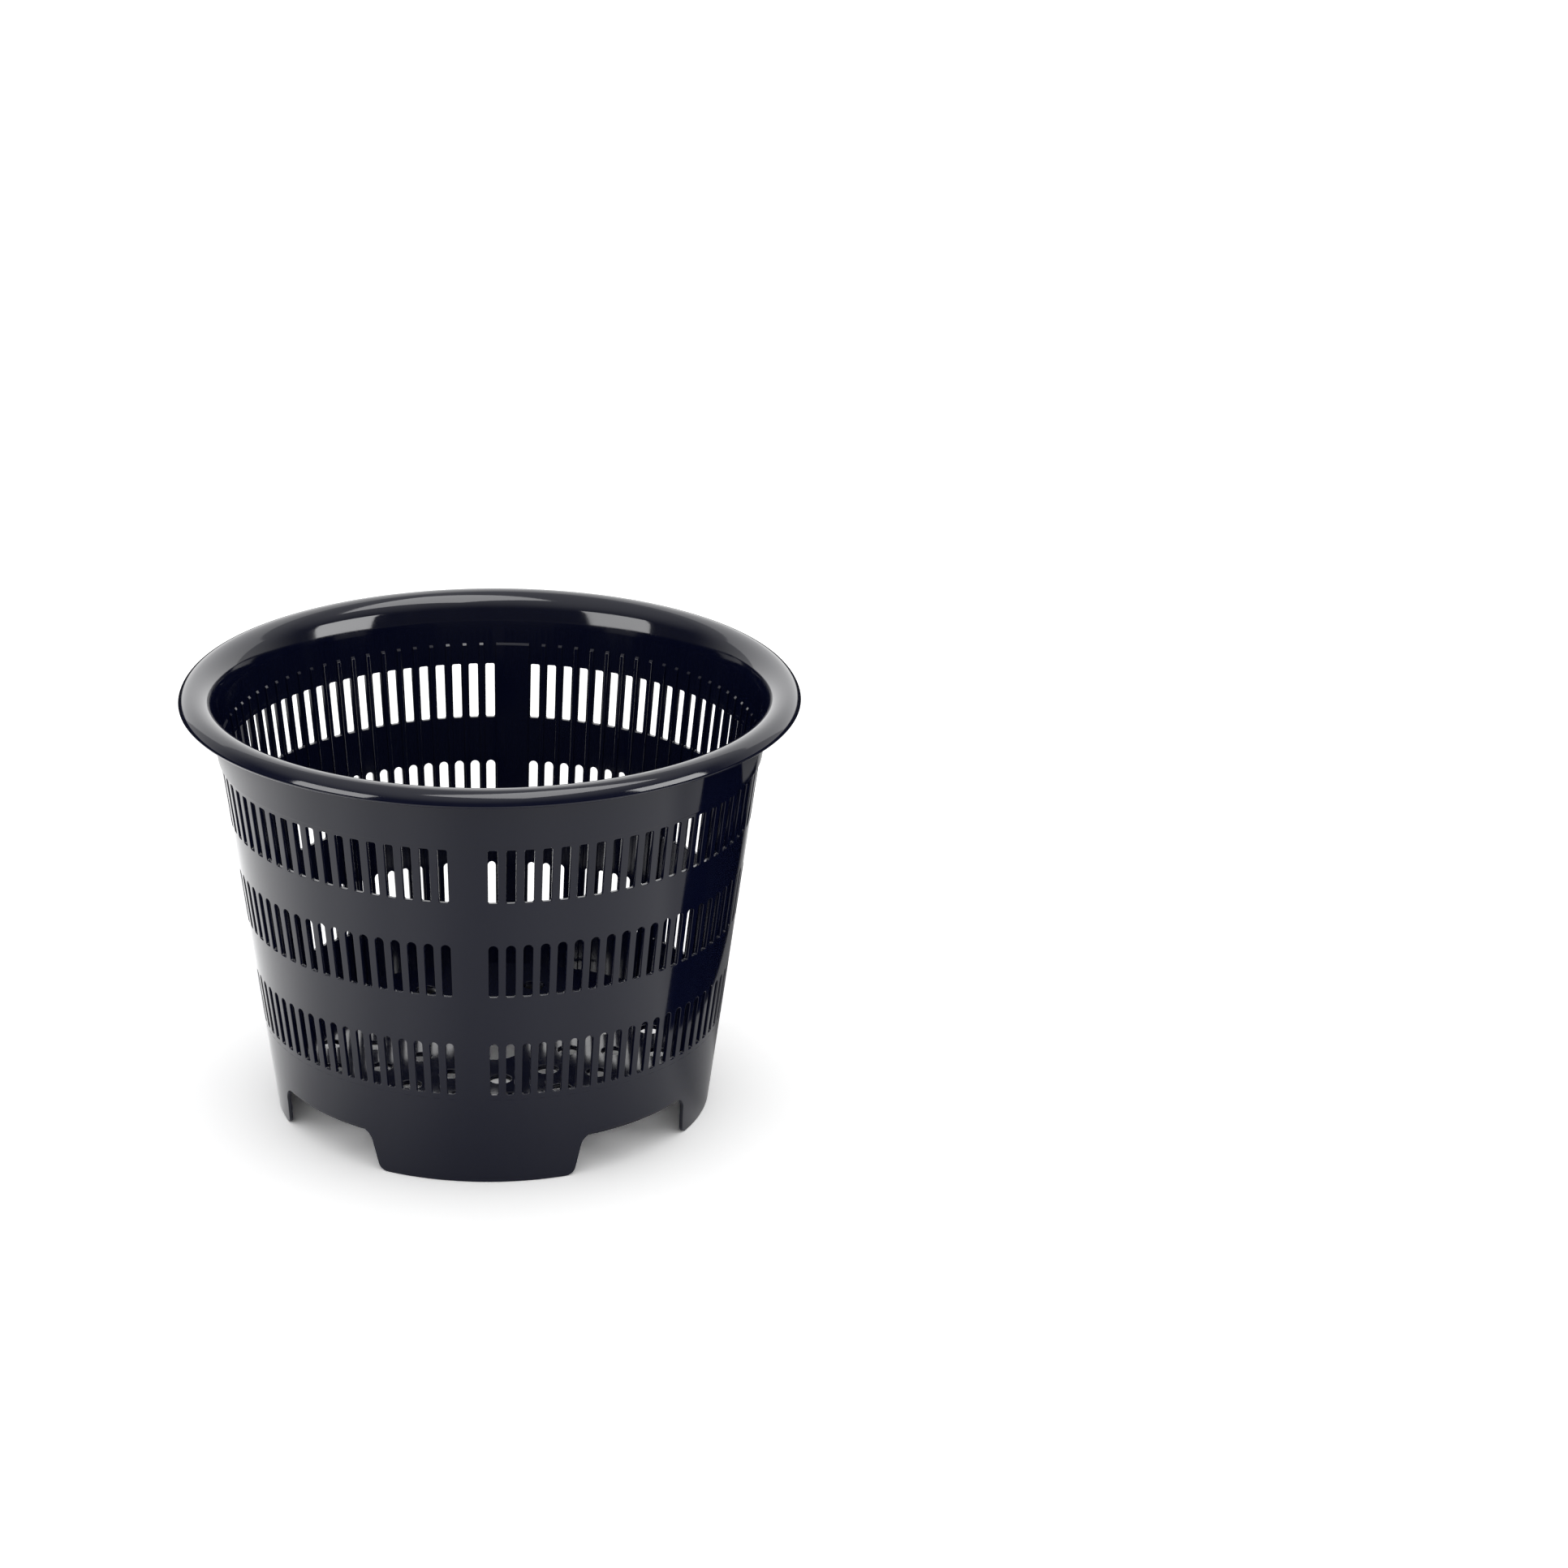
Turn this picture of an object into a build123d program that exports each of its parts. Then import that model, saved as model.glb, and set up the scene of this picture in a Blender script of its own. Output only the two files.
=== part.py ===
from build123d import *
import math
import os

# Slotted orchid pot, one thin-walled moulding. Millimetres, +Z up, origin under the middle of the feet.
# Pillars stand at 0, 90, 180 and 270 degrees round the Z axis, and the gaps between the feet lie halfway between.

# Overall
rim_diameter = 120.0
base_diameter = 85.4
pot_height = 86.0
wall_thickness = 0.8
cut_overrun = 1.0  # every cutter runs this far past what it cuts

# Rim
rim_overhang = 5.92  # from the wall, carried on up to the top of the pot, out to the edge of the rim
rim_depth = 6.0  # from the crown of the rim down to its seat on the collar
crown_inset = 2.8  # from the outer edge in to the crown
crown_drop = 2.3  # from the crown down to the outermost point of the lip

# Collar
collar_depth = 7.2
collar_step = 0.4  # how far the collar stands proud of the slotted wall

# Slots
column_count = 22  # columns of slots in one panel
slot_widths = (1.85, 1.8, 1.6)  # of each row, from the top
slot_corner = 0.35
top_margin = 0.9  # solid wall left over the first row, inside the panel
first_band = 9.0  # plain band under the first row
second_band = 10.2
bottom_margin = 1.1
skirt_top = 18.3  # from the ground to the bottom of the panels
pillar_pitch = 10.3  # degrees between the two slot columns beside a pillar

# Pillars and inner ribs
panel_count = 4
pillar_width = 5.2
rib_width = 0.7
rib_depth = 0.3
rib_rise = 3.4  # how far ribs and pillar backs run up behind the collar
rib_fade = 1.0  # the height over which their tops slope away into the wall
pad_margin = 0.2  # wall left showing between a pillar's back and the slot beside it

# Floor
floor_height = 8.0  # from the ground to the underside
floor_thickness = 1.0
hole_diameter = 4.3
centre_hole_diameter = 11.0
hole_rings = ((9, 14.9), (14, 23.6), (18, 32.4))  # number of drain holes and radius of each ring

# Feet
gap_height = 8.8
gap_width_at_tips = 28.0
gap_width_at_top = 25.6
gap_corner = 2.4
tip_corner = 1.5

# Worked out from the sizes above
rim_radius = rim_diameter / 2
base_radius = base_diameter / 2
slope = (rim_radius - rim_overhang - base_radius) / pot_height
draft = math.atan(slope)  # the wall's lean from the vertical, the same inside and outside
rim_seat = pot_height - rim_depth
collar_bottom = rim_seat - collar_depth
row_bands = (first_band, second_band, bottom_margin)
slot_height = (collar_bottom - skirt_top - top_margin - sum(row_bands)) / len(row_bands)
floor_top = floor_height + floor_thickness
rib_top = collar_bottom + rib_rise
foot_top = gap_height - gap_corner
panel_turn = 360 / panel_count
column_pitch = (panel_turn - pillar_pitch) / (column_count - 1)


def outer_radius(height):
    return base_radius + slope * height


def inner_radius(height):
    return outer_radius(height) - wall_thickness


def arc_degrees(width, radius):
    return math.degrees(width / radius)


wall_middle = (collar_bottom + skirt_top) / 2
pillar_turn = arc_degrees(pillar_width, outer_radius(wall_middle))
rib_turn = arc_degrees(rib_width, inner_radius(wall_middle))
pad_turn = pillar_pitch - arc_degrees(max(slot_widths) + 2 * pad_margin, inner_radius(skirt_top))


def section(points):
    """A closed section through the wall, drawn as radius and height."""
    return Plane.XZ * make_face(Polyline(*points, close=True))


def wall_section(bottom, top, inside=0, outside=0):
    """The wall between two heights, made thicker by inside and outside."""
    return section(
        [
            (inner_radius(bottom) - inside, bottom),
            (outer_radius(bottom) + outside, bottom),
            (outer_radius(top) + outside, top),
            (inner_radius(top) - inside, top),
        ]
    )


def rib_section(bottom, top):
    """A rib's section: it lies on the wall's inner face, leans with it and fades out at its top."""
    return section(
        [
            (inner_radius(bottom) - rib_depth, bottom),
            (inner_radius(bottom), bottom),
            (inner_radius(top), top),
            (inner_radius(top - rib_fade) - rib_depth, top - rib_fade),
        ]
    )


def turned(face, middle, turn):
    """A piece of revolution that spans turn degrees about the angle middle."""
    return Rot(0, 0, middle - turn / 2) * revolve(face, axis=Axis.Z, revolution_arc=turn)


def ring(face):
    return revolve(face, axis=Axis.Z)


def make_rim():
    """The wall flares out, turns over the crown and ends in a short lip with a round edge."""
    crown_radius = rim_radius - crown_inset
    reach = crown_radius - inner_radius(pot_height)
    flare_radius = reach * math.cos(draft) / (1 - math.sin(draft))
    flare_height = pot_height - flare_radius
    thickness = (wall_thickness + collar_step) * math.cos(draft)
    edge_radius = thickness / 2
    across = crown_inset - edge_radius
    lip_radius = (across**2 + crown_drop**2 - edge_radius**2) / (2 * (crown_drop - edge_radius))
    flare_centre = (crown_radius, flare_height)
    lip_centre = (crown_radius, pot_height - lip_radius)
    edge_centre = (rim_radius - edge_radius, pot_height - crown_drop)
    meet_angle = math.degrees(math.atan2(lip_radius - crown_drop, across))
    flare_turn = 90 - math.degrees(draft)
    inside_flare = CenterArc(flare_centre, flare_radius, 90, flare_turn)
    under_flare = CenterArc(flare_centre, flare_radius - thickness, 90, flare_turn)
    lip = CenterArc(lip_centre, lip_radius, meet_angle, 90 - meet_angle)
    edge = CenterArc(edge_centre, edge_radius, meet_angle, -180)
    under_lip = CenterArc(lip_centre, lip_radius - thickness, meet_angle, 90 - meet_angle)
    seat_inside = (inner_radius(rim_seat), rim_seat)
    seat_outside = (outer_radius(rim_seat) + collar_step, rim_seat)
    outline = [
        Line(seat_inside, inside_flare @ 1),
        inside_flare,
        lip,
        edge,
        under_lip,
        under_flare,
        Line(under_flare @ 1, seat_outside),
        Line(seat_outside, seat_inside),
    ]
    return ring(Plane.XZ * make_face(Wire(outline)))


def make_collar():
    return ring(wall_section(collar_bottom, rim_seat, outside=collar_step))


def square_slot(width):
    return RectangleRounded(width, slot_height, slot_corner)


def arched_slot(width):
    """A slot with a round head and a square foot."""
    head = Pos(0, (slot_height - width) / 2) * Circle(width / 2)
    shaft_height = slot_height - width / 2
    shaft = Pos(0, (shaft_height - slot_height) / 2) * Rectangle(width, shaft_height)
    return fillet((head + shaft).vertices().group_by(Axis.Y)[0], slot_corner)


def slot_cutter(outline, top):
    """A slot outline pushed straight out through the wall, with its top at this height."""
    bottom = top - slot_height
    start = inner_radius(bottom) - cut_overrun
    length = outer_radius(top) + cut_overrun - start
    place = Plane.YZ.offset(start) * Pos(0, (top + bottom) / 2)
    return extrude(place * outline, length)


def row_tops():
    tops = [collar_bottom - top_margin]
    for band in row_bands[:-1]:
        tops.append(tops[-1] - slot_height - band)
    return tops


def column_angles():
    first = -column_pitch * (column_count - 1) / 2
    return [first + column_pitch * number for number in range(column_count)]


def make_panel():
    """A quarter of the slotted wall, centred on the X axis."""
    panel = turned(wall_section(skirt_top, collar_bottom), 0, panel_turn - pillar_turn)
    shapes = [square_slot, arched_slot, arched_slot]
    rows = [
        slot_cutter(shape(width), top)
        for shape, width, top in zip(shapes, slot_widths, row_tops())
    ]
    cutters = [Rot(0, 0, angle) * row for angle in column_angles() for row in rows]
    return panel - cutters


def make_ribs():
    """The ribs of one panel, one behind each web between two columns of slots."""
    rib = turned(rib_section(floor_top, rib_top), 0, rib_turn)
    return [Rot(0, 0, angle + column_pitch / 2) * rib for angle in column_angles()[:-1]]


def make_pillar():
    """The plain strip between two panels with the thicker back that fills its inside."""
    strip = turned(wall_section(skirt_top, collar_bottom), 0, pillar_turn)
    back = turned(rib_section(floor_top, rib_top), 0, pad_turn)
    return strip + back


def gap_cutter():
    """The opening between two feet, pushed out along the X axis."""
    far = outer_radius(gap_height) + cut_overrun
    corners = [
        (-gap_width_at_tips / 2 - tip_corner - cut_overrun, -cut_overrun),
        (gap_width_at_tips / 2 + tip_corner + cut_overrun, -cut_overrun),
        (gap_width_at_tips / 2 + tip_corner + cut_overrun, 0),
        (gap_width_at_tips / 2, 0),
        (gap_width_at_top / 2, gap_height),
        (-gap_width_at_top / 2, gap_height),
        (-gap_width_at_tips / 2, 0),
        (-gap_width_at_tips / 2 - tip_corner - cut_overrun, 0),
    ]
    outline = make_face(Polyline(*corners, close=True))
    tops = outline.vertices().group_by(Axis.Y)[-1]
    outline = fillet(tops, gap_corner)
    tips = [v for v in outline.vertices() if abs(abs(v.X) - gap_width_at_tips / 2) < tip_corner / 2]
    outline = fillet([v for v in tips if abs(v.Y) < tip_corner / 2], tip_corner)
    return extrude(Plane.YZ * outline, far)


def all_gaps():
    return [Rot(0, 0, panel_turn * (number + 0.5)) * gap_cutter() for number in range(panel_count)]


def make_skirt():
    """The plain band under the last row of slots, arched over the gaps between the feet."""
    return ring(wall_section(foot_top, skirt_top)) - all_gaps()


def make_feet():
    feet = ring(wall_section(0, foot_top)) - all_gaps()
    return feet.solids()


def make_floor():
    plate = ring(
        section(
            [
                (0, floor_height),
                (inner_radius(floor_height), floor_height),
                (inner_radius(floor_top), floor_top),
                (0, floor_top),
            ]
        )
    )
    middle = Pos(0, 0, floor_height + floor_thickness / 2)
    drill_length = floor_thickness + 2 * cut_overrun
    drills = [middle * Cylinder(centre_hole_diameter / 2, drill_length)]
    for count, radius in hole_rings:
        for number in range(count):
            place = Rot(0, 0, 360 * number / count) * Pos(radius, 0)
            drills.append(place * middle * Cylinder(hole_diameter / 2, drill_length))
    return plate - drills


side_names = ["right", "back", "left", "front"]
corner_names = ["back_right", "back_left", "front_left", "front_right"]

os.makedirs("parts", exist_ok=True)


def save(name, shape):
    export_step(shape, f"parts/{name}.step")


save("rim", make_rim())
save("collar", make_collar())
save("skirt", make_skirt())
save("drain_floor", make_floor())

panel = make_panel()
ribs = make_ribs()
for number, corner in enumerate(corner_names):
    turn = Rot(0, 0, panel_turn * (number + 0.5))
    save(f"slotted_panel_{corner}", turn * panel)
    save(f"inner_ribs_{corner}", Compound([turn * rib for rib in ribs]))

pillar = make_pillar()
for number, side in enumerate(side_names):
    save(f"pillar_{side}", Rot(0, 0, panel_turn * number) * pillar)

for foot in make_feet():
    angle = math.degrees(math.atan2(foot.center().Y, foot.center().X)) % 360
    save(f"foot_{side_names[round(angle / panel_turn) % panel_count]}", foot)
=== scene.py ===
import math

import bmesh
import bpy
from mathutils import Matrix, Vector


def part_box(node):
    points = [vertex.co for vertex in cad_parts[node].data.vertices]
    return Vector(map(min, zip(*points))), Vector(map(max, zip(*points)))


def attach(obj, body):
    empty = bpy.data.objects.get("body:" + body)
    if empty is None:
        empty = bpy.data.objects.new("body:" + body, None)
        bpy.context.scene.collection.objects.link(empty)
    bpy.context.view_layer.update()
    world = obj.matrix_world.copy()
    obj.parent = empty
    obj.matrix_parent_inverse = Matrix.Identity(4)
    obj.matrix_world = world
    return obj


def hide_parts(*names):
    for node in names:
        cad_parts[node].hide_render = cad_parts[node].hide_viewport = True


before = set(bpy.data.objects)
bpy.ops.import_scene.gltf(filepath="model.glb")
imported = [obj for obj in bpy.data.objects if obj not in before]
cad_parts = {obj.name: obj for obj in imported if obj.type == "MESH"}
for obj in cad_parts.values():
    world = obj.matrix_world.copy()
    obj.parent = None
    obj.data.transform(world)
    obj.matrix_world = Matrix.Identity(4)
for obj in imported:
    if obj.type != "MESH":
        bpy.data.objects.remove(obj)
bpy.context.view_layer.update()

mm = 0.001
mergeWithin = 0.001 * mm  # points nearer to each other than this are one
evenWithin = 0.01 * mm  # ends of an edge are at one depth or height within this
endFacing = 0.9  # how squarely a face has to look along x to be the end of a flat piece
upAxis = (0, 0, 1)
middle = (0, 0, 0)

# Heights and radii come from the frame, so every piece lands on its own node
rimLow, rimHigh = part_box("rim")
collarLow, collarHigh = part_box("collar")
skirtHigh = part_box("skirt")[1]
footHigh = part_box("foot_right")[1]
floorLow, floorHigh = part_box("drain_floor")
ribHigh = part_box("inner_ribs_back_right")[1]

wall = {
    "thickness": 0.8 * mm,
    "collarStep": 0.4 * mm,
    "edge": 0.14 * mm,  # rounding along the slots and under the collar
    "edgeSteps": 2,
    "brinkTurn": 1.2,  # faces that meet at more than this many radians get their edge rounded
}
wallSlope = (collarHigh.x - wall["collarStep"] - footHigh.x) / (rimLow.z - footHigh.z)
baseRadius = footHigh.x - wallSlope * footHigh.z
wallDraft = math.atan(wallSlope)
cornerNames = ["back_right", "back_left", "front_left", "front_right"]
sideNames = ["right", "back", "left", "front"]
quarter = math.pi / 2


def outerRadius(height):
    return baseRadius + wallSlope * height


def innerRadius(height):
    return outerRadius(height) - wall["thickness"]


# One material for the whole moulding
plastic = {
    "colour": (0.0013, 0.0021, 0.0122, 1),
    "paleColour": (0.0035, 0.0048, 0.0155, 1),
    "roughness": (0.06, 0.12),
    "flowScale": 38,  # slow waves left by the melt
    "flowDetail": 1.5,
    "flowHeight": 0.035 * mm,
    "skinScale": 1500,  # fine grain of the mould
    "skinDetail": 3,
    "skinHeight": 0.0012 * mm,
    "scuffScale": (260, 260, 30),  # faint upright rub marks
    "scuffDetail": 6,
    "scuffRoughness": 0.7,
    "scuffSpread": (0.35, 0.75),  # how much scuff gives the lowest and the highest roughness
    "specular": 0.47,
    "ior": 1.49,
}


def addNoise(nodes, scale, detail, roughness=0.5):
    noise = nodes.new("ShaderNodeTexNoise")
    noise.inputs["Scale"].default_value = scale
    noise.inputs["Detail"].default_value = detail
    noise.inputs["Roughness"].default_value = roughness
    return noise


def addRange(nodes, value, ends, results):
    span = nodes.new("ShaderNodeMapRange")
    for socket, number in zip(("From Min", "From Max", "To Min", "To Max"), (*ends, *results)):
        span.inputs[socket].default_value = number
    span.id_data.links.new(value, span.inputs["Value"])
    return span


def addBump(nodes, height, distance):
    bump = nodes.new("ShaderNodeBump")
    bump.inputs["Distance"].default_value = distance
    bump.id_data.links.new(height, bump.inputs["Height"])
    return bump


def makePlastic():
    material = bpy.data.materials.new("glossBlackPlastic")
    material.use_nodes = True
    nodes, links = material.node_tree.nodes, material.node_tree.links
    shader = nodes["Principled BSDF"]
    shader.inputs["IOR"].default_value = plastic["ior"]
    shader.inputs["Specular IOR Level"].default_value = plastic["specular"]
    place = nodes.new("ShaderNodeTexCoord")

    flow = addNoise(nodes, plastic["flowScale"], plastic["flowDetail"])
    links.new(place.outputs["Object"], flow.inputs["Vector"])
    skin = addNoise(nodes, plastic["skinScale"], plastic["skinDetail"])
    links.new(place.outputs["Object"], skin.inputs["Vector"])
    stretch = nodes.new("ShaderNodeMapping")
    stretch.inputs["Scale"].default_value = plastic["scuffScale"]
    links.new(place.outputs["Object"], stretch.inputs["Vector"])
    scuff = addNoise(nodes, 1, plastic["scuffDetail"], plastic["scuffRoughness"])
    links.new(stretch.outputs["Vector"], scuff.inputs["Vector"])

    tone = nodes.new("ShaderNodeMix")
    tone.data_type = "RGBA"
    tone.inputs["A"].default_value = plastic["colour"]
    tone.inputs["B"].default_value = plastic["paleColour"]
    links.new(scuff.outputs["Fac"], tone.inputs["Factor"])
    links.new(tone.outputs["Result"], shader.inputs["Base Color"])
    gloss = addRange(nodes, scuff.outputs["Fac"], plastic["scuffSpread"], plastic["roughness"])
    links.new(gloss.outputs["Result"], shader.inputs["Roughness"])

    waves = addBump(nodes, flow.outputs["Fac"], plastic["flowHeight"])
    grain = addBump(nodes, skin.outputs["Fac"], plastic["skinHeight"])
    links.new(waves.outputs["Normal"], grain.inputs["Normal"])
    links.new(grain.outputs["Normal"], shader.inputs["Normal"])
    return material


potPlastic = makePlastic()

shading = {
    "sharpAngle": math.radians(35),
    "steady": 0.995,  # cosine from which on a face counts as running along the wall or level
    "lent": 0.6,  # cosine of how far a neighbour may turn away and still shade with it
}


def wallDirection(place):
    across = math.hypot(place.x, place.y)
    lean = math.cos(wallDraft) / across
    return Vector((place.x * lean, place.y * lean, -math.sin(wallDraft)))


# Faces that run along the wall or lie level get their true direction, and neighbours shade as one
def steadyNormals(mesh):
    steady = {}
    for face in mesh.polygons:
        for number in face.vertices:
            place = mesh.vertices[number].co
            choices = [Vector(upAxis)]
            if math.hypot(place.x, place.y) > baseRadius / 2:  # further in there is only the floor
                choices.append(wallDirection(place))
            for direction in choices:
                agreement = face.normal.dot(direction)
                if abs(agreement) > shading["steady"]:
                    steady.setdefault(number, []).append(direction * math.copysign(1, agreement))
    normals = [corner.vector.copy() for corner in mesh.corner_normals]
    for face in mesh.polygons:
        for corner, number in zip(face.loop_indices, face.vertices):
            near = [one for one in steady.get(number, []) if face.normal.dot(one) > shading["lent"]]
            if near:
                normals[corner] = max(near, key=face.normal.dot)
    mesh.normals_split_custom_set(normals)


def finishPiece(bm, name, *nodes, steady=True):
    bmesh.ops.remove_doubles(bm, verts=bm.verts[:], dist=mergeWithin)
    bmesh.ops.recalc_face_normals(bm, faces=bm.faces[:])
    mesh = bpy.data.meshes.new(name)
    bm.to_mesh(mesh)
    bm.free()
    mesh.shade_smooth()
    mesh.set_sharp_from_angle(angle=shading["sharpAngle"])
    if steady:
        steadyNormals(mesh)
    mesh.materials.append(potPlastic)
    piece = bpy.data.objects.new(name, mesh)
    bpy.context.scene.collection.objects.link(piece)
    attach(piece, "root")
    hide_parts(*nodes)


# A section of radius and height, turned about the pot's axis
def turnSection(corners, steps, turn=2 * math.pi, start=0.0):
    bm = bmesh.new()
    whole = turn == 2 * math.pi
    begin = Matrix.Rotation(start, 3, "Z")
    verts = [bm.verts.new(begin @ Vector((radius, 0, height))) for radius, height in corners]
    if whole:
        for one, other in zip(verts, verts[1:] + verts[:1]):
            bm.edges.new((one, other))
    else:
        bm.faces.new(verts)
    geometry = bm.verts[:] + bm.edges[:] + bm.faces[:]
    bmesh.ops.spin(
        bm, geom=geometry, cent=middle, axis=upAxis, angle=turn, steps=steps, use_merge=whole
    )
    return bm


def arcPoints(centre, radius, start, end, steps):
    turns = [start + (end - start) * step / steps for step in range(steps + 1)]
    return [(centre[0] + radius * math.cos(a), centre[1] + radius * math.sin(a)) for a in turns]


def copyAround(bm, count, pitch):
    geometry = bm.verts[:] + bm.edges[:] + bm.faces[:]
    bmesh.ops.spin(
        bm, geom=geometry, cent=middle, axis=upAxis, angle=pitch * (count - 1),
        steps=count - 1, use_duplicate=True,
    )


def turnAbout(bm, angle):
    bmesh.ops.rotate(bm, cent=middle, matrix=Matrix.Rotation(angle, 3, "Z"), verts=bm.verts[:])


# Rim
rim = {
    "crownInset": 2.8 * mm,
    "crownDrop": 2.3 * mm,
    "flareBreak": math.radians(70),  # slope where the slow lower flare meets the quick upper one
    "steps": 288,
    "arcSteps": 22,
}


def makeRim():
    seat, top, edge = rimLow.z, rimHigh.z, rimHigh.x
    crown = edge - rim["crownInset"]
    thickness = (wall["thickness"] + wall["collarStep"]) * math.cos(wallDraft)

    # Inside, two arcs lead from the wall's slope over the break to the level crown
    start, turned = quarter - wallDraft, rim["flareBreak"]
    out, rise = crown - innerRadius(seat), top - seat
    slowOut, slowRise = math.sin(start) - math.sin(turned), math.cos(turned) - math.cos(start)
    quickOut, quickRise = math.sin(turned), 1 - math.cos(turned)
    share = slowOut * quickRise - quickOut * slowRise
    slow = (out * quickRise - rise * quickOut) / share
    quick = (rise * slowOut - out * slowRise) / share
    throat, shoulder = quarter + start, quarter + turned
    slowCentre = (innerRadius(seat) - slow * math.cos(throat), seat - slow * math.sin(throat))
    quickCentre = (crown, top - quick)

    # Outside, a lip with a round edge, and one arc under the flare
    bead = thickness / 2
    across = rim["crownInset"] - bead
    lip = (across**2 + rim["crownDrop"] ** 2 - bead**2) / (2 * (rim["crownDrop"] - bead))
    lipCentre = (crown, top - lip)
    beadCentre = (edge - bead, top - rim["crownDrop"])
    meet = math.atan2(lip - rim["crownDrop"], across)
    flare = (crown - innerRadius(top)) * math.cos(wallDraft) / (1 - math.sin(wallDraft))
    flareCentre = (crown, top - flare)

    steps = rim["arcSteps"]
    profile = arcPoints(slowCentre, slow, throat, shoulder, steps)
    profile += arcPoints(quickCentre, quick, shoulder, quarter, steps)[1:]
    profile += arcPoints(lipCentre, lip, quarter, meet, steps)[1:]
    profile += arcPoints(beadCentre, bead, meet, meet - math.pi, steps)[1:]
    profile += arcPoints(lipCentre, lip - thickness, meet, quarter, steps)[1:]
    profile += arcPoints(flareCentre, flare - thickness, quarter, throat, steps)[1:]
    profile += [(outerRadius(seat) + wall["collarStep"], seat)]
    finishPiece(turnSection(profile, rim["steps"]), "rim_moulding", "rim", steady=False)


# Collar
def makeCollar():
    low, high, edge = collarLow.z, collarHigh.z, wall["edge"]
    step = wall["collarStep"]
    softened = 0.3 * edge  # the middle of the rounded lower edge lies this far in and up
    profile = [
        (innerRadius(low), low),
        (outerRadius(low) + step - edge, low),
        (outerRadius(low) + step - softened, low + softened),
        (outerRadius(low) + step, low + edge),
        (outerRadius(high) + step, high),
        (innerRadius(high), high),
    ]
    finishPiece(turnSection(profile, rim["steps"]), "collar_moulding", "collar")


# Flat work: x runs round the wall, y runs inwards from its outer face, z is the height
def flatFace(bm, corners):
    return bm.faces.new([bm.verts.new((across, 0, height)) for across, height in corners])


# The upright end faces go, so that copies round the wall join into one skin
def dropEnds(bm, beyond):
    ends = [
        face for face in bm.faces
        if abs(face.normal.x) > endFacing and abs(face.calc_center_median().x) > beyond
    ]
    bmesh.ops.delete(bm, geom=ends, context="FACES_ONLY")


def roundCorners(bm, verts, radius, steps):
    bmesh.ops.bevel(
        bm, geom=verts, offset=radius, offset_type="OFFSET", affect="VERTICES",
        segments=steps, profile=0.5, clamp_overlap=False, material=-1,
    )


def roundEdges(bm, edges, width, steps):
    bmesh.ops.bevel(
        bm, geom=edges, offset=width, offset_type="OFFSET", affect="EDGES", segments=steps,
        profile=0.5, loop_slide=False, clamp_overlap=False, material=-1,
    )


def thicken(bm, depth):
    grown = bmesh.ops.extrude_face_region(bm, geom=bm.faces[:])["geom"]
    moved = [item for item in grown if isinstance(item, bmesh.types.BMVert)]
    bmesh.ops.translate(bm, vec=(0, depth, 0), verts=moved)
    bmesh.ops.recalc_face_normals(bm, faces=bm.faces[:])


def wrapOntoWall(bm, turn):
    for vert in bm.verts:
        across, depth, height = vert.co
        angle = turn + math.asin(across / outerRadius(height))
        reach = outerRadius(height) - depth
        vert.co = (reach * math.cos(angle), reach * math.sin(angle), height)


def closeEnds(bm):
    bmesh.ops.remove_doubles(bm, verts=bm.verts[:], dist=mergeWithin)
    loose = [edge for edge in bm.edges if len(edge.link_faces) == 1]
    bmesh.ops.holes_fill(bm, edges=loose, sides=0)


# Slotted panels
slots = {
    "columns": 22,
    "widths": (1.85 * mm, 1.8 * mm, 1.6 * mm),  # of each row, from the top
    "corner": 0.35 * mm,
    "topMargin": 0.9 * mm,
    "bands": (9.0 * mm, 10.2 * mm, 1.1 * mm),  # plain wall under each row
    "pillarPitch": math.radians(10.3),  # between the two columns beside a pillar
    "headSteps": 6,
    "headShare": 0.999,  # of half the width, so that the two halves of a round head don't touch
    "cornerSteps": 3,
}
columnPitch = (quarter - slots["pillarPitch"]) / (slots["columns"] - 1)
panelLow, panelTop = skirtHigh.z, collarLow.z
slottedHeight = panelTop - panelLow - slots["topMargin"] - sum(slots["bands"])
slotHeight = slottedHeight / len(slots["bands"])


def addSlot(bm, width, top, arched):
    half, bottom = width / 2, top - slotHeight
    outline = flatFace(bm, [(-half, bottom), (half, bottom), (half, top), (-half, top)])
    feet, shoulders = list(outline.verts)[:2], list(outline.verts)[2:]
    roundCorners(bm, feet, slots["corner"], slots["cornerSteps"])
    if arched:
        roundCorners(bm, shoulders, half * slots["headShare"], slots["headSteps"])
    else:
        roundCorners(bm, shoulders, slots["corner"], slots["cornerSteps"])


def makeColumn():
    bm = bmesh.new()
    lowHalf = outerRadius(panelLow) * math.sin(columnPitch / 2)
    topHalf = outerRadius(panelTop) * math.sin(columnPitch / 2)
    flatFace(bm, [
        (-lowHalf, panelLow), (lowHalf, panelLow), (topHalf, panelTop), (-topHalf, panelTop),
    ])
    top = panelTop - slots["topMargin"]
    for row, (width, band) in enumerate(zip(slots["widths"], slots["bands"])):
        addSlot(bm, width, top, arched=row > 0)
        top -= slotHeight + band
    bmesh.ops.delete(bm, geom=bm.faces[:], context="FACES_ONLY")
    bmesh.ops.triangle_fill(bm, use_beauty=True, edges=bm.edges[:])
    thicken(bm, wall["thickness"])
    reach = max(slots["widths"]) * 0.51  # just past the widest slot's sides
    slotEdges = [
        edge for edge in bm.edges
        if all(abs(v.co.x) < reach and panelLow < v.co.z < panelTop for v in edge.verts)
        and edge.calc_face_angle(0) > wall["brinkTurn"]
        and abs(edge.verts[0].co.y - edge.verts[1].co.y) < evenWithin
    ]
    dropEnds(bm, reach)
    roundEdges(bm, slotEdges, wall["edge"], wall["edgeSteps"])
    return bm


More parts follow.
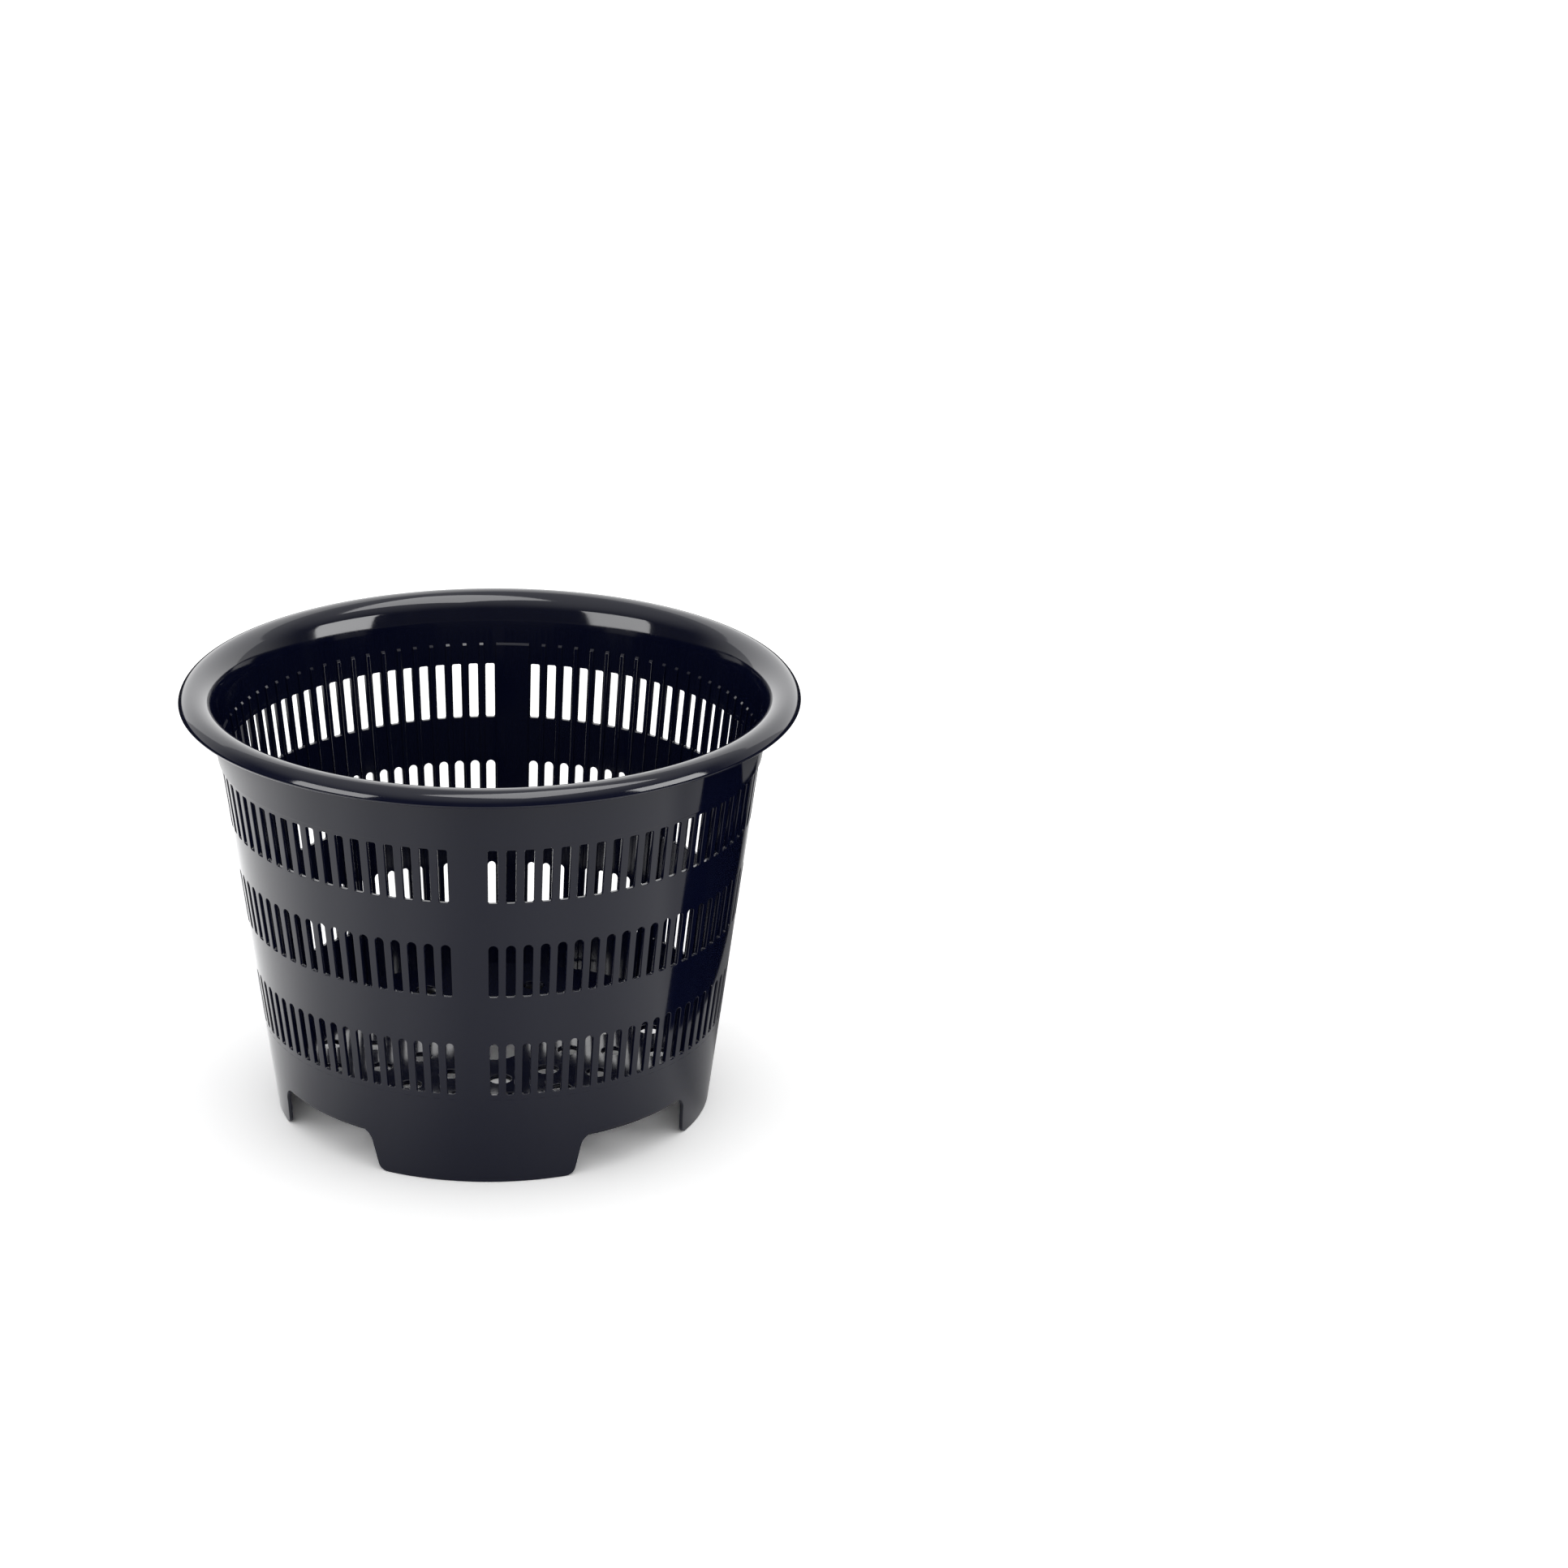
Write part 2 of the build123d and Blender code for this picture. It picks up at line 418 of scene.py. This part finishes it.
def makePanel(number, corner):
    bm = makeColumn()
    wrapOntoWall(bm, quarter * (number + 0.5) - columnPitch * (slots["columns"] - 1) / 2)
    copyAround(bm, slots["columns"], columnPitch)
    closeEnds(bm)
    finishPiece(bm, f"slotted_panel_{corner}_moulding", f"slotted_panel_{corner}")


# Inner ribs and pillars
ribs = {
    "width": 0.7 * mm,
    "depth": 0.3 * mm,
    "fade": 0.4 * mm,  # the height over which their tops slope into the wall
    "edge": 0.06 * mm,
    "edgeTurn": 0.2,  # proud faces that meet at more than this many radians get their edge rounded
    "padMargin": 0.2 * mm,  # wall left showing between a pillar's back and the slot beside it
    "pillarSteps": 6,
}
ribLow, ribTop = floorHigh.z, ribHigh.z
pillarTurn = slots["pillarPitch"] - columnPitch


def innerStrip(turn, steps):
    depth, shoulder = ribs["depth"], ribTop - ribs["fade"]
    section = [
        (innerRadius(ribLow) - depth, ribLow),
        (innerRadius(ribLow), ribLow),
        (innerRadius(ribTop), ribTop),
        (innerRadius(shoulder) - depth, shoulder),
    ]
    bm = turnSection(section, steps, turn, -turn / 2)
    bmesh.ops.recalc_face_normals(bm, faces=bm.faces[:])
    proud = [
        edge for edge in bm.edges
        if edge.calc_face_angle(0) > ribs["edgeTurn"]
        and all(math.hypot(v.co.x, v.co.y) < innerRadius(v.co.z) - depth / 2 for v in edge.verts)
        and max(v.co.z for v in edge.verts) > (ribLow + ribTop) / 2
    ]
    roundEdges(bm, proud, ribs["edge"], wall["edgeSteps"])
    return bm


def makeRibs(number, corner):
    bm = innerStrip(ribs["width"] / innerRadius((panelLow + panelTop) / 2), 1)
    turnAbout(bm, quarter * (number + 0.5) - columnPitch * (slots["columns"] - 2) / 2)
    copyAround(bm, slots["columns"] - 1, columnPitch)
    finishPiece(bm, f"inner_ribs_{corner}_moulding", f"inner_ribs_{corner}")


def makePillar(number, side):
    besidePad = (max(slots["widths"]) + 2 * ribs["padMargin"]) / innerRadius(panelLow)
    bm = innerStrip(slots["pillarPitch"] - besidePad, ribs["pillarSteps"])
    plainWall = [
        (innerRadius(panelLow), panelLow), (outerRadius(panelLow), panelLow),
        (outerRadius(panelTop), panelTop), (innerRadius(panelTop), panelTop),
    ]
    strip = turnSection(plainWall, ribs["pillarSteps"], pillarTurn, -pillarTurn / 2)
    spare = bpy.data.meshes.new("strip")
    strip.to_mesh(spare)
    strip.free()
    bm.from_mesh(spare)
    bpy.data.meshes.remove(spare)
    turnAbout(bm, quarter * number)
    finishPiece(bm, f"pillar_{side}_moulding", f"pillar_{side}")


# Skirt and feet
gap = {
    "height": 8.8 * mm,
    "widthAtTips": 28.0 * mm,
    "widthAtTop": 25.6 * mm,
    "corner": 2.4 * mm,
    "tipCorner": 1.5 * mm,
    "cornerSteps": 6,
    "edge": 0.2 * mm,
}
footTop = footHigh.z


def cutAcross(bm, place, direction):
    whole = bm.verts[:] + bm.edges[:] + bm.faces[:]
    bmesh.ops.bisect_plane(bm, geom=whole, dist=mergeWithin, plane_co=place, plane_no=direction)


def makeSkirtQuarter():
    bm = bmesh.new()
    tip, top = gap["widthAtTips"] / 2, gap["widthAtTop"] / 2
    lowEnd = baseRadius * math.sin(quarter / 2)
    highEnd = outerRadius(panelLow) * math.sin(quarter / 2)
    outline = flatFace(bm, [
        (-lowEnd, 0), (-tip, 0), (-top, gap["height"]), (top, gap["height"]),
        (tip, 0), (lowEnd, 0), (highEnd, panelLow), (-highEnd, panelLow),
    ])
    corners = list(outline.verts)
    tips, tops = [corners[1], corners[4]], [corners[2], corners[3]]
    roundCorners(bm, tips, gap["tipCorner"], gap["cornerSteps"])
    roundCorners(bm, tops, gap["corner"], gap["cornerSteps"])
    # Upright cuts let the flat quarter follow the round wall
    for step in range(-slots["columns"], slots["columns"] + 1):
        across = outerRadius(panelLow) * math.sin(columnPitch * step / 2)
        if abs(across) < lowEnd:
            cutAcross(bm, (across, 0, 0), (1, 0, 0))
    cutAcross(bm, (0, 0, footTop), upAxis)
    thicken(bm, wall["thickness"])
    dropEnds(bm, (lowEnd + tip) / 2)
    brinks = [
        edge for edge in bm.edges
        if edge.calc_face_angle(0) > wall["brinkTurn"]
        and abs(edge.verts[0].co.y - edge.verts[1].co.y) < evenWithin
        and max(v.co.z for v in edge.verts) < (gap["height"] + panelLow) / 2
    ]
    roundEdges(bm, brinks, gap["edge"], wall["edgeSteps"])
    return bm


def makeSkirtAndFeet():
    whole = makeSkirtQuarter()
    wrapOntoWall(whole, quarter / 2)
    copyAround(whole, len(sideNames), quarter)
    bmesh.ops.remove_doubles(whole, verts=whole.verts[:], dist=mergeWithin)
    for name, keep in [("skirt", None)] + [(f"foot_{side}", n) for n, side in enumerate(sideNames)]:
        bm = whole.copy()
        if keep is None:
            away = [face for face in bm.faces if face.calc_center_median().z < footTop]
        else:
            ahead = Matrix.Rotation(quarter * keep, 3, "Z") @ Vector((1, 0, 0))
            away = [
                face for face in bm.faces
                if face.calc_center_median().z > footTop
                or face.calc_center_median().normalized().dot(ahead) < math.cos(quarter / 2)
            ]
        bmesh.ops.delete(bm, geom=away, context="FACES")
        closeEnds(bm)
        finishPiece(bm, f"{name}_moulding", name)
    whole.free()


# Drain floor
floorPlate = {
    "hole": 4.3 * mm,
    "centreHole": 11.0 * mm,
    "rings": ((9, 14.9 * mm), (14, 23.6 * mm), (18, 32.4 * mm)),  # holes and radius of each ring
    "steps": 144,
    "holeSteps": 28,
    "centreSteps": 48,
    "border": 1.0 * mm,  # points this near to the wall belong to the plate's own outline
    "edge": 0.2 * mm,
}


def addCircle(bm, radius, steps, place):
    bmesh.ops.create_circle(bm, segments=steps, radius=radius, matrix=Matrix.Translation(place))


def makeFloor():
    bm = bmesh.new()
    top, thickness = floorHigh.z, floorHigh.z - floorLow.z
    border = innerRadius(floorLow.z) - floorPlate["border"]
    addCircle(bm, innerRadius(top), floorPlate["steps"], (0, 0, top))
    addCircle(bm, floorPlate["centreHole"] / 2, floorPlate["centreSteps"], (0, 0, top))
    for count, radius in floorPlate["rings"]:
        for number in range(count):
            angle = 2 * math.pi * number / count
            place = (radius * math.cos(angle), radius * math.sin(angle), top)
            addCircle(bm, floorPlate["hole"] / 2, floorPlate["holeSteps"], place)
    bmesh.ops.triangle_fill(bm, use_beauty=True, edges=bm.edges[:])
    grown = bmesh.ops.extrude_face_region(bm, geom=bm.faces[:])["geom"]
    moved = [item for item in grown if isinstance(item, bmesh.types.BMVert)]
    bmesh.ops.translate(bm, vec=(0, 0, -thickness), verts=moved)
    for vert in moved:
        if math.hypot(*vert.co.xy) > border:
            vert.co.xy *= innerRadius(floorLow.z) / innerRadius(top)
    bmesh.ops.recalc_face_normals(bm, faces=bm.faces[:])
    brims = [
        edge for edge in bm.edges
        if edge.calc_face_angle(0) > wall["brinkTurn"]
        and abs(edge.verts[0].co.z - edge.verts[1].co.z) < evenWithin
        and math.hypot(*edge.verts[0].co.xy) < border
    ]
    roundEdges(bm, brims, floorPlate["edge"], wall["edgeSteps"])
    finishPiece(bm, "drain_floor_moulding", "drain_floor")


makeRim()
makeCollar()
print("rim and collar done")
for number, corner in enumerate(cornerNames):
    makePanel(number, corner)
    makeRibs(number, corner)
print("slotted panels and ribs done")
for number, side in enumerate(sideNames):
    makePillar(number, side)
makeSkirtAndFeet()
makeFloor()
print("pillars, skirt, feet and floor done")


# Ground, light and camera
def newStageMesh(name, bm, material):
    mesh = bpy.data.meshes.new(name)
    bm.to_mesh(mesh)
    bm.free()
    mesh.materials.append(material)
    piece = bpy.data.objects.new(name, mesh)
    bpy.context.scene.collection.objects.link(piece)
    return piece


def addFade(nodes, value, ends, results):
    fade = addRange(nodes, value, ends, results)
    fade.interpolation_type = "SMOOTHSTEP"
    return fade.outputs["Result"]


# White ground, brighter to the camera and to gloss than to the soft light that it sends back, with
# painted light and shade that only gloss sees
ground = {
    "size": 8,
    "colour": 0.93,
    "seen": 1.41,  # how brightly the camera sees it where it is lit, past white outside the shadows
    # Painted light and shade seen only in gloss, by turn from the pot's left over its front and
    # right, brightness
    "gloss": (
        (0.0, 1.9), (0.09, 1.5), (0.16, 1.15), (0.25, 0.76), (0.34, 0.94), (0.45, 1.15),
        (0.485, 0.7), (0.55, 0.8), (0.585, 0.3), (0.64, 0.22), (0.72, 1.9), (1.0, 1.9),
    ),
    "paintedShadeShare": 0.8,  # painted shade: what gloss sees of that brightness close to the pot
    "paintedShadeFade": (0.05, 0.09),  # distances from the pot's axis between which this painted shade ends
    "far": 0.02,  # painted dark reflection: how brightly gloss sees it far out
    "farPaintedDarkFade": (0.17, 0.22),  # distances from the axis between which it darkens to that
}


def grey(brightness):
    return (brightness, brightness, brightness, 1)


def makeGroundMaterial():
    material = bpy.data.materials.new("whiteGroundWithPaintedGlossLight")
    material.use_nodes = True
    nodes, links = material.node_tree.nodes, material.node_tree.links
    nodes.remove(nodes["Principled BSDF"])
    output = nodes["Material Output"]
    paths = nodes.new("ShaderNodeLightPath")
    place = nodes.new("ShaderNodeTexCoord")
    around = nodes.new("ShaderNodeTexGradient")
    around.gradient_type = "RADIAL"
    links.new(place.outputs["Object"], around.inputs["Vector"])
    # Painted light and shade for gloss: the ground brighter to the left and behind, darker in front
    # and to the right
    greys = nodes.new("ShaderNodeValToRGB")
    ramp = greys.color_ramp
    ramp.interpolation = "EASE"
    brightest = max(brightness for _, brightness in ground["gloss"])
    for number, (turn, brightness) in enumerate(ground["gloss"]):
        stop = ramp.elements[number] if number < 2 else ramp.elements.new(turn)
        stop.position = turn
        stop.color = grey(brightness / brightest)
    links.new(around.outputs["Fac"], greys.inputs["Fac"])
    distance = nodes.new("ShaderNodeVectorMath")
    distance.operation = "LENGTH"
    links.new(place.outputs["Object"], distance.inputs[0])
    # Painted shade round the pot's foot, seen only in gloss
    shade = (ground["paintedShadeShare"] * brightest, brightest)
    level = nodes.new("ShaderNodeVectorMath")
    level.operation = "SCALE"
    links.new(greys.outputs["Color"], level.inputs[0])
    nearPaintedShade = addFade(nodes, distance.outputs["Value"], ground["paintedShadeFade"], shade)
    links.new(nearPaintedShade, level.inputs["Scale"])
    # Painted dark reflection far from the pot, seen only in gloss
    farPaintedDark = nodes.new("ShaderNodeMix")
    farPaintedDark.data_type = "RGBA"
    farPaintedDark.inputs["B"].default_value = grey(ground["far"])
    outwards = addFade(nodes, distance.outputs["Value"], ground["farPaintedDarkFade"], (0, 1))
    links.new(outwards, farPaintedDark.inputs["Factor"])
    links.new(level.outputs["Vector"], farPaintedDark.inputs["A"])
    toCamera = nodes.new("ShaderNodeMix")
    toCamera.data_type = "RGBA"
    toCamera.inputs["A"].default_value = grey(ground["colour"])
    toCamera.inputs["B"].default_value = grey(ground["seen"])
    links.new(paths.outputs["Is Camera Ray"], toCamera.inputs["Factor"])
    toGloss = nodes.new("ShaderNodeMix")
    toGloss.data_type = "RGBA"
    links.new(paths.outputs["Is Glossy Ray"], toGloss.inputs["Factor"])
    links.new(toCamera.outputs["Result"], toGloss.inputs["A"])
    links.new(farPaintedDark.outputs["Result"], toGloss.inputs["B"])
    matt = nodes.new("ShaderNodeBsdfDiffuse")
    links.new(toGloss.outputs["Result"], matt.inputs["Color"])
    links.new(matt.outputs["BSDF"], output.inputs["Surface"])
    return material


def makeGround():
    bm = bmesh.new()
    bmesh.ops.create_grid(bm, x_segments=1, y_segments=1, size=ground["size"] / 2)
    newStageMesh("ground", bm, makeGroundMaterial())


# A black card beside the pot darkens the reflections on its right side
card = {
    "colour": (0.002, 0.002, 0.003, 1),
    "place": 0.075,  # x of its plane
    "corners": (  # y and height
        (-0.0215, 0), (-0.0215, 0.066), (0.002, 0.066), (0.016, 0.053), (0.06, 0.045), (0.07, 0),
    ),
}


def makeDarkCard():
    black = bpy.data.materials.new("blackCard")
    black.use_nodes = True
    shader = black.node_tree.nodes["Principled BSDF"]
    shader.inputs["Base Color"].default_value = card["colour"]
    shader.inputs["Specular IOR Level"].default_value = 0
    bm = bmesh.new()
    bm.faces.new([bm.verts.new((card["place"], y, height)) for y, height in card["corners"]])
    piece = newStageMesh("dark_card", bm, black)
    piece.visible_camera = False
    piece.visible_diffuse = False
    piece.visible_shadow = False


# White to the camera and plain to diffuse light
# To gloss, a dark room with a white backdrop and ceiling
room = {
    "diffuse": 1.0,
    "dark": 0.1,  # what gloss sees low in front
    "white": 1.0,  # and behind and overhead
    "backFade": (-0.05, 0.6),  # y of the direction between which the room passes into the backdrop
    "ceilingFade": (0.3, 1.0),  # z of the direction between which it passes into the ceiling
}


def makeWorld():
    world = bpy.data.worlds.new("whiteRoom")
    bpy.context.scene.world = world
    world.use_nodes = True
    nodes, links = world.node_tree.nodes, world.node_tree.links
    sky = nodes["Background"]
    sky.inputs["Color"].default_value = grey(1)
    paths = nodes.new("ShaderNodeLightPath")
    place = nodes.new("ShaderNodeTexCoord")
    toGloss = nodes.new("ShaderNodeMix")
    toGloss.inputs["A"].default_value = room["diffuse"]
    greys = (room["dark"], room["white"])
    direction = nodes.new("ShaderNodeSeparateXYZ")
    links.new(place.outputs["Generated"], direction.inputs["Vector"])
    seen = nodes.new("ShaderNodeMath")
    seen.operation = "MAXIMUM"
    for number, (axis, ends) in enumerate((("Y", room["backFade"]), ("Z", room["ceilingFade"]))):
        links.new(addFade(nodes, direction.outputs[axis], ends, greys), seen.inputs[number])
    links.new(paths.outputs["Is Glossy Ray"], toGloss.inputs["Factor"])
    links.new(seen.outputs["Value"], toGloss.inputs["B"])
    toCamera = nodes.new("ShaderNodeMix")
    toCamera.inputs["B"].default_value = 1
    links.new(paths.outputs["Is Camera Ray"], toCamera.inputs["Factor"])
    links.new(toGloss.outputs["Result"], toCamera.inputs["A"])
    links.new(toCamera.outputs["Result"], sky.inputs["Strength"])


# Softboxes that only gloss sees, as the room gives the other light: place, size, brightness
lamps = {
    "overhead": ((0.7, -0.4, 4.0), (3.2, 2.4), 5.0),
    "window_left": ((-0.77, -0.58, 0.35), (0.52, 0.48), 7.0),
    "window_right": ((0.915, -0.31, 0.35), (0.5, 0.44), 8.5),
    "behind": ((0, 1.5, 0.75), (3.6, 1.4), 1.0),
}
lampTarget = Vector((0, 0, 0.05))


def addLamp(name, place, size, brightness):
    data = bpy.data.lights.new(name, "AREA")
    data.shape = "RECTANGLE"
    data.size, data.size_y = size
    data.energy = math.pi * data.size * data.size_y * brightness
    lamp = bpy.data.objects.new(name, data)
    bpy.context.scene.collection.objects.link(lamp)
    lamp.location = place
    lamp.rotation_euler = (lampTarget - Vector(place)).to_track_quat("-Z", "Y").to_euler()
    lamp.visible_camera = False
    lamp.visible_diffuse = False


view = {
    "imageSize": 1932,
    "focalPixels": 5800,
    "sensorWidth": 36,
    "clipStart": 0.01,
    "baseInImage": (608.7, 1341.8),  # pixel of the point under the pot's middle
    "distance": 0.9397,
    "pitch": math.radians(20.91),
    "roll": 0.0153,
    "turn": math.radians(1.24),
}


def makeCamera():
    half, focal = view["imageSize"] / 2, view["focalPixels"]
    pitch, roll = view["pitch"], view["roll"]
    ahead = Vector((0, math.cos(pitch), -math.sin(pitch)))
    level, rise = Vector((1, 0, 0)), Vector((0, math.sin(pitch), math.cos(pitch)))
    right = level * math.cos(roll) + rise * math.sin(roll)
    up = rise * math.cos(roll) - level * math.sin(roll)
    x, y = view["baseInImage"]
    toPot = view["distance"] * ((x - half) / focal * right + (half - y) / focal * up + ahead)
    data = bpy.data.cameras.new("camera")
    data.sensor_width = view["sensorWidth"]
    data.lens = focal / view["imageSize"] * data.sensor_width
    data.clip_start = view["clipStart"]
    camera = bpy.data.objects.new("camera", data)
    bpy.context.scene.collection.objects.link(camera)
    facing = Matrix((right, up, -ahead)).transposed()
    turn = Matrix.Rotation(view["turn"], 3, "Z")
    camera.matrix_world = Matrix.Translation(turn @ -toPot) @ (turn @ facing).to_4x4()
    bpy.context.scene.camera = camera


makeGround()
makeDarkCard()
makeWorld()
for name, choices in lamps.items():
    addLamp(name, *choices)
makeCamera()
bpy.context.scene.view_settings.view_transform = "Standard"
print("studio and camera done")
